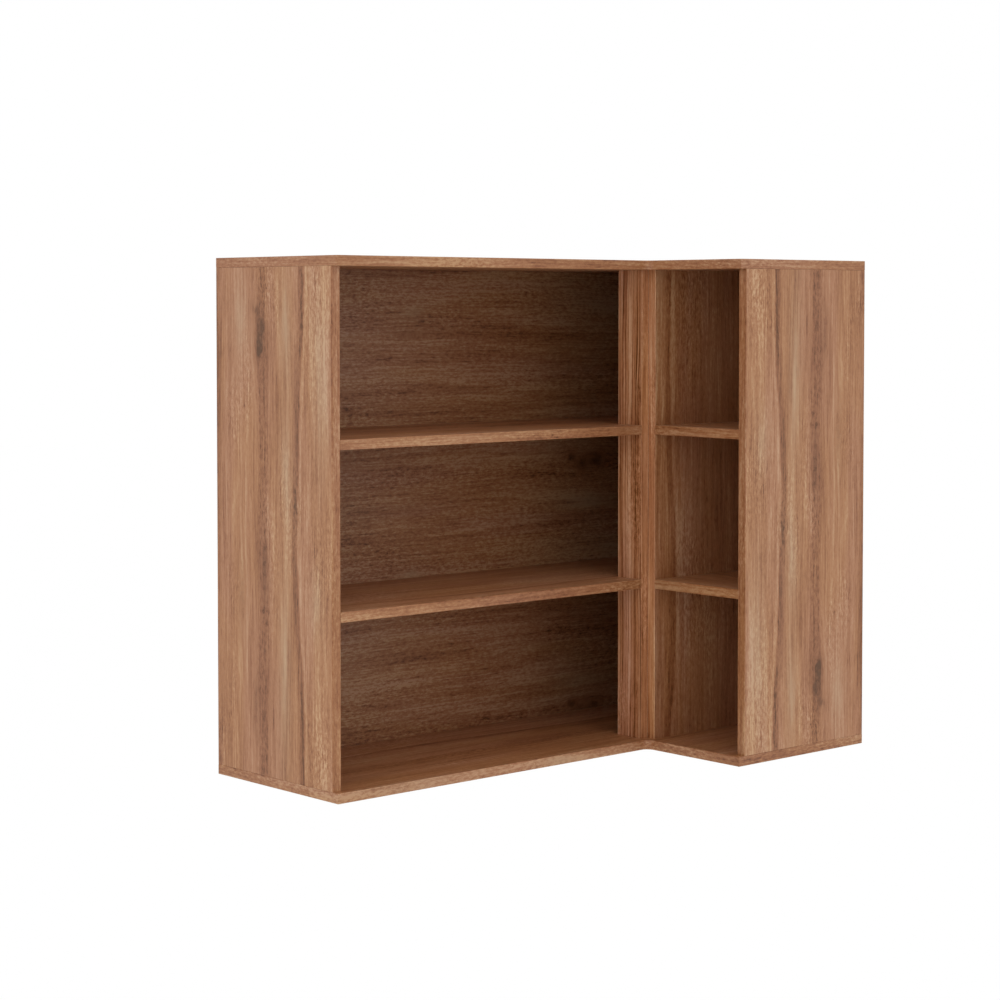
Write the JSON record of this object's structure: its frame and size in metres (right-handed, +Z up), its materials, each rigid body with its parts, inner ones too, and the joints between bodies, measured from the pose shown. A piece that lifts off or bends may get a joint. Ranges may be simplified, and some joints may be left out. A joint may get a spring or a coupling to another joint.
{
  "type": "hanging wall cabinet",
  "caption": "Open L-shaped corner wall cabinet in wood-grain board: a wide shelved bay, a narrow shelved niche beside it, and keyhole hangers on both wall sides.",
  "frame": {"origin": "middle of the floor of the overall box, level with the underside of the bottom panel", "axes": "+Z up, +Y towards the long wall behind the left wing, +X towards the short wall; the left wing opens towards -Y and the right wing towards -X"},
  "size_m": [0.92, 0.491, 0.78],
  "materials": {
    "face_wood": "satin melamine foil in a reddish brown wood grain",
    "back_wood": "satin foil in the same wood grain on thin fibreboard",
    "frame_wood": "satin melamine foil in the same wood grain, on the hidden frame",
    "edge_band": "satin edge tape in the same wood grain",
    "screw_steel": "zinc plated",
    "hanger_steel": "zinc plated sheet",
    "cam_zinc": "die-cast zinc",
    "cap_plastic": "moulded brown caps",
    "dowel_wood": "bare beech"
  },
  "bodies": {
    "root": {"top_panel": "face_wood", "bottom_panel": "face_wood", "left_side_panel": "face_wood", "right_side_panel": "face_wood", "corner_stile": "face_wood", "niche_divider": "face_wood", "corner_batten": "frame_wood", "rear_corner_post": "frame_wood", "upper_corner_shelf": "face_wood", "lower_corner_shelf": "face_wood", "upper_niche_shelf": "face_wood", "lower_niche_shelf": "face_wood", "left_back_panel": "back_wood", "right_back_panel": "back_wood", "left_hanging_rail": "frame_wood", "right_hanging_rail": "frame_wood", "left_lower_rail": "frame_wood", "right_lower_rail": "frame_wood", "top_edge_bands": "edge_band", "bottom_edge_bands": "edge_band", "left_side_edge_band": "edge_band", "right_side_edge_band": "edge_band", "corner_stile_edge_band": "edge_band", "niche_divider_edge_band": "edge_band", "upper_corner_shelf_edge_band": "edge_band", "lower_corner_shelf_edge_band": "edge_band", "upper_niche_shelf_edge_band": "edge_band", "lower_niche_shelf_edge_band": "edge_band", "top_housing_screws": "screw_steel", "bottom_housing_screws": "screw_steel", "top_screw_caps": "cap_plastic", "bottom_screw_caps": "cap_plastic", "top_dowels": "dowel_wood", "bottom_dowels": "dowel_wood", "rail_dowels": "dowel_wood", "shelf_dowels": "dowel_wood", "batten_dowels": "dowel_wood", "batten_screws": "screw_steel", "shelf_cam_locks": "cam_zinc", "shelf_cam_bolts": "screw_steel", "divider_through_bolts": "screw_steel", "left_hanger_plates": "hanger_steel", "right_hanger_plates": "hanger_steel", "left_hanger_screws": "screw_steel", "right_hanger_screws": "screw_steel"}
  },
  "joints": []
}
